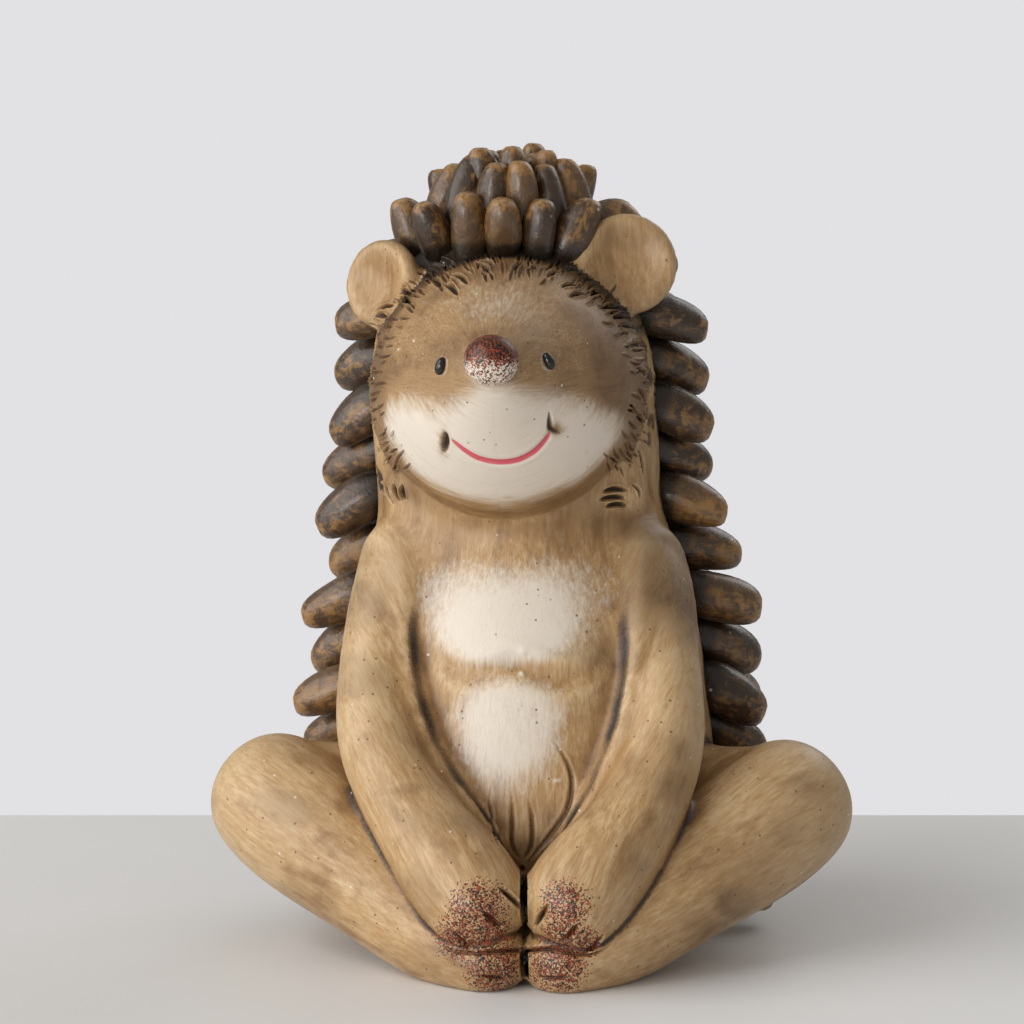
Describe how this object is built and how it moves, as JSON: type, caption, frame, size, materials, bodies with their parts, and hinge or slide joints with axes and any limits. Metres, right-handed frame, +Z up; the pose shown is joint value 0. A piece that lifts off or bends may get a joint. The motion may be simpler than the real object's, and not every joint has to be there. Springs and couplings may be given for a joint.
{
  "type": "hedgehog figurine",
  "caption": "Seated clay hedgehog ornament with its soles together, hands resting on them, and rows of fat glazed spines over its back and crown.",
  "frame": {"origin": "middle of the bounding box at the level of the surface that it stands on", "axes": "+Z up, the face looks along -Y, +X to the right of someone who looks at the face"},
  "size_m": [0.1212, 0.105, 0.1503],
  "materials": {
    "clay_skin": "tan fired clay, brushed with darker stain and cream white, satin varnish",
    "spine_glaze": "glossy chocolate brown glaze that breaks to amber at the edges",
    "nose_glaze": "sponged red-brown speckle on clay, satin",
    "eye_glaze": "glossy black bead"
  },
  "bodies": {
    "root": {"back_spines_1": "spine_glaze", "back_spines_2": "spine_glaze", "back_spines_3": "spine_glaze", "back_spines_4": "spine_glaze", "back_spines_5": "spine_glaze", "back_spines_6": "spine_glaze", "back_spines_7": "spine_glaze", "back_spines_8": "spine_glaze", "crown_spines_1": "spine_glaze", "crown_spines_2": "spine_glaze", "crown_spines_3": "spine_glaze", "crown_spines_4": "spine_glaze", "face": "clay_skin", "face_fringe": "clay_skin", "head_shell": "clay_skin", "head_spines_1": "spine_glaze", "head_spines_2": "spine_glaze", "head_spines_3": "spine_glaze", "head_spines_4": "spine_glaze", "head_spines_5": "spine_glaze", "head_spines_6": "spine_glaze", "left_arm": "clay_skin", "left_ear": "clay_skin", "left_eye": "eye_glaze", "left_leg": "clay_skin", "nose": "nose_glaze", "right_arm": "clay_skin", "right_ear": "clay_skin", "right_eye": "eye_glaze", "right_leg": "clay_skin", "torso_shell": "clay_skin"}
  },
  "joints": []
}
